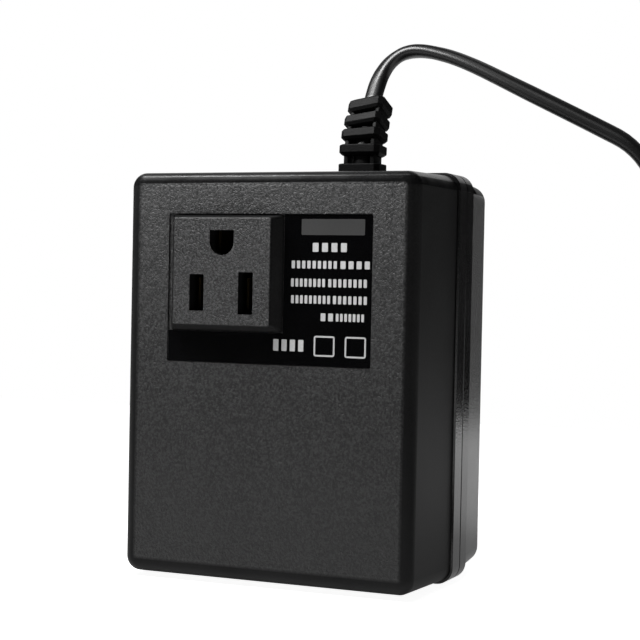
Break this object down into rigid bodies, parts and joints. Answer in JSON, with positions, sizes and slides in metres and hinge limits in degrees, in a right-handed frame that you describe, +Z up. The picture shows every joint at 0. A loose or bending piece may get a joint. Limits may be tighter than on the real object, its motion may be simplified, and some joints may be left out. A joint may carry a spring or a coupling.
{
  "type": "travel voltage converter",
  "caption": "Upright two-part plastic case with a proud seam rim, a three-hole outlet block on the front and a flat mains lead with a round-pin plug leaving the top through a ribbed relief.",
  "frame": {"origin": "on the standing surface, under the middle of the case's width and of its depth from outlet face to back", "axes": "+Z up to the lead's strain relief; the outlet faces -Y; +X to the right as seen from the front, where the lead leaves"},
  "size_m": [0.2579, 0.0807, 0.1481],
  "materials": {
    "case_plastic": "fine grained moulded plastic, dark grey",
    "outlet_plastic": "smooth moulded plastic, near black",
    "label_film": "printed film, glossy",
    "screw_steel": "zinc plated",
    "contact_brass": "bare spring strip",
    "core_steel": "stacked silicon-steel sheet, varnished",
    "bobbin_nylon": "moulded, natural",
    "winding_copper": "enamelled copper wire, close wound",
    "insulation_paper": "pressed paper",
    "insulation_tape": "polyester tape",
    "tinned_tag": "tinned",
    "cutout_plastic": "moulded",
    "relief_rubber": "soft moulded plastic, satin",
    "cord_sheath": "smooth flexible sheath",
    "tie_plastic": "plastic-coated",
    "brown_wire": "wire insulation",
    "blue_wire": "wire insulation",
    "plug_plastic": "moulded, satin",
    "pin_brass": "nickel-plated brass",
    "sleeve_plastic": "moulded"
  },
  "bodies": {
    "root": {"front_shell": "case_plastic", "rear_shell": "case_plastic", "case_screws": "screw_steel", "rating_label": "label_film", "outlet_face": "outlet_plastic", "outlet_body": "outlet_plastic", "outlet_cover": "outlet_plastic", "outlet_screws": "screw_steel", "neutral_contact": "contact_brass", "line_contact": "contact_brass", "earth_contact": "contact_brass", "core_e_stack": "core_steel", "core_i_stack": "core_steel", "bobbin": "bobbin_nylon", "inner_winding": "winding_copper", "interlayer_paper": "insulation_paper", "outer_winding": "winding_copper", "outer_tape": "insulation_tape", "terminal_tags": "tinned_tag", "thermal_cutout": "cutout_plastic", "core_screws": "screw_steel", "strain_relief": "relief_rubber", "held_cord": "cord_sheath", "coil_tie": "tie_plastic", "line_wire": "brown_wire", "neutral_wire": "blue_wire", "output_neutral_wire": "blue_wire", "output_line_wire": "brown_wire", "mains_cord": "cord_sheath", "cord_coil": "cord_sheath", "cord_tail": "cord_sheath", "plug_body": "plug_plastic", "plug_pins": "pin_brass", "pin_sleeves": "sleeve_plastic"}
  },
  "joints": []
}
